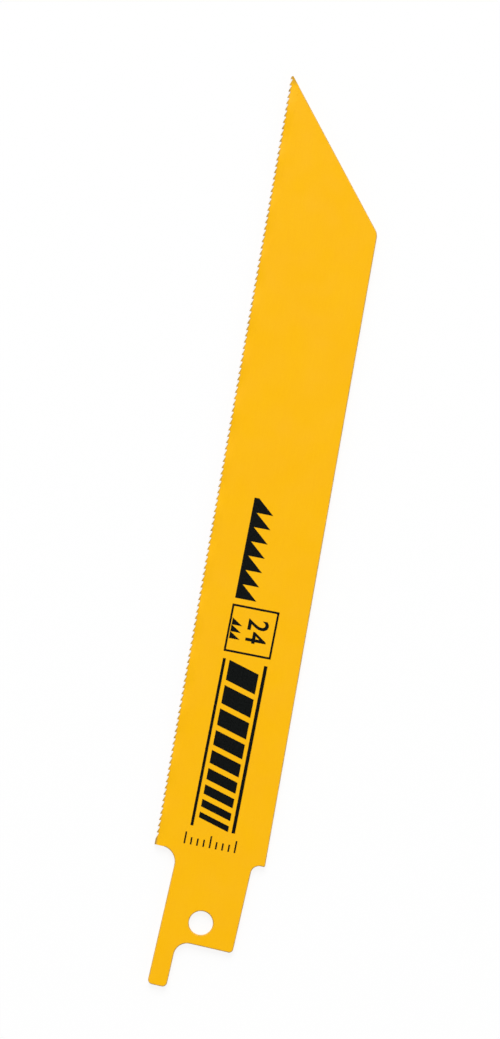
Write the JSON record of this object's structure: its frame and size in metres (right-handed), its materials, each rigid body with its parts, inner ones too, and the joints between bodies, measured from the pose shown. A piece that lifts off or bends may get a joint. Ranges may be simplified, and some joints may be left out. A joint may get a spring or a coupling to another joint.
{
  "type": "reciprocating saw blade",
  "caption": "Straight-backed reciprocating saw blade for metal: yellow coated strip, fine wave-set teeth, slanted nose and a notched tang with a pin hole.",
  "frame": {"origin": "centre of the tang's pin hole, halfway through the thickness", "axes": "+X along the row of teeth to the point, +Y towards the teeth, +Z out of the printed face along the pin hole"},
  "size_m": [0.1525, 0.0187, 0.0012],
  "materials": {
    "coating": "satin yellow stoved enamel over steel, thin at the bevels and tooth points",
    "ink": "semi-matte black printed ink"
  },
  "bodies": {
    "root": {"blade": "coating"}
  },
  "joints": []
}
